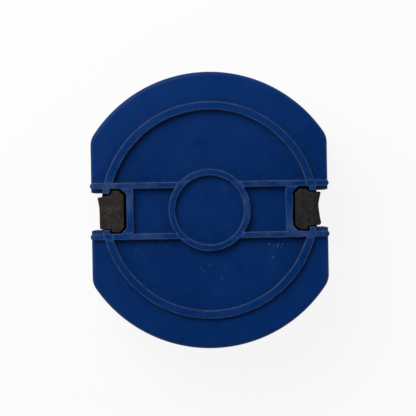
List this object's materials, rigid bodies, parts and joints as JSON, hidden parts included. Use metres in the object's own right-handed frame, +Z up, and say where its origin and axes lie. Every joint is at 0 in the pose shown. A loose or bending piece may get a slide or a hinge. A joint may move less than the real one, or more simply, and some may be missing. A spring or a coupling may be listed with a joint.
{
  "type": "magnetic glass cleaner",
  "caption": "Magnetic cleaner for aquarium glass: flat-sided discs with ribbed backs and rubber finger grips, stored pad to pad, one for each side of the pane.",
  "frame": {"origin": "centre of the object's underside: on the discs' common axis, at the rib tops of the inner half's back", "axes": "+Z up, from the inner half to the outer half; +X towards the right flat and its grips; +Y along the long diameter"},
  "size_m": [0.0944, 0.11, 0.0343],
  "materials": {
    "housing_plastic": "matte",
    "grip_rubber": "matte",
    "felt": "matte",
    "scouring_fibre": "matte",
    "ferrite": "matte",
    "keeper_steel": "satin",
    "screw_steel": "satin",
    "seal_rubber": "matte",
    "foam": "matte"
  },
  "bodies": {
    "inner_half": {"inner_housing": "housing_plastic", "inner_cover": "housing_plastic", "inner_cover_seal": "seal_rubber", "inner_magnet_1": "ferrite", "inner_magnet_2": "ferrite", "inner_magnet_3": "ferrite", "inner_magnet_4": "ferrite", "inner_hub_magnet": "ferrite", "inner_keeper_plate": "keeper_steel", "inner_foam_sheet": "foam", "inner_cover_screws": "screw_steel", "inner_scouring_pad": "scouring_fibre"},
    "outer_half": {"outer_housing": "housing_plastic", "outer_cover": "housing_plastic", "outer_cover_seal": "seal_rubber", "outer_magnet_1": "ferrite", "outer_magnet_2": "ferrite", "outer_magnet_3": "ferrite", "outer_magnet_4": "ferrite", "outer_hub_magnet": "ferrite", "outer_keeper_plate": "keeper_steel", "outer_foam_sheet": "foam", "outer_cover_screws": "screw_steel", "outer_felt_pad": "felt"},
    "grip_outer_left": {"outer_left_grip": "grip_rubber"},
    "grip_outer_right": {"outer_right_grip": "grip_rubber"},
    "grip_inner_left": {"inner_left_grip": "grip_rubber"},
    "grip_inner_right": {"inner_right_grip": "grip_rubber"}
  },
  "joints": [
    {"name": "halves_part", "type": "slide", "parent": "inner_half", "child": "outer_half", "axis": [0, 0, 1], "range_m": [0, 0.03]},
    {"name": "outer_left_grip_press", "type": "slide", "parent": "outer_half", "child": "grip_outer_left", "axis": [1, 0, 0], "range_m": [0, 0.0006]},
    {"name": "outer_right_grip_press", "type": "slide", "parent": "outer_half", "child": "grip_outer_right", "axis": [-1, 0, 0], "range_m": [0, 0.0006]},
    {"name": "inner_left_grip_press", "type": "slide", "parent": "inner_half", "child": "grip_inner_left", "axis": [1, 0, 0], "range_m": [0, 0.0006]},
    {"name": "inner_right_grip_press", "type": "slide", "parent": "inner_half", "child": "grip_inner_right", "axis": [-1, 0, 0], "range_m": [0, 0.0006]}
  ]
}
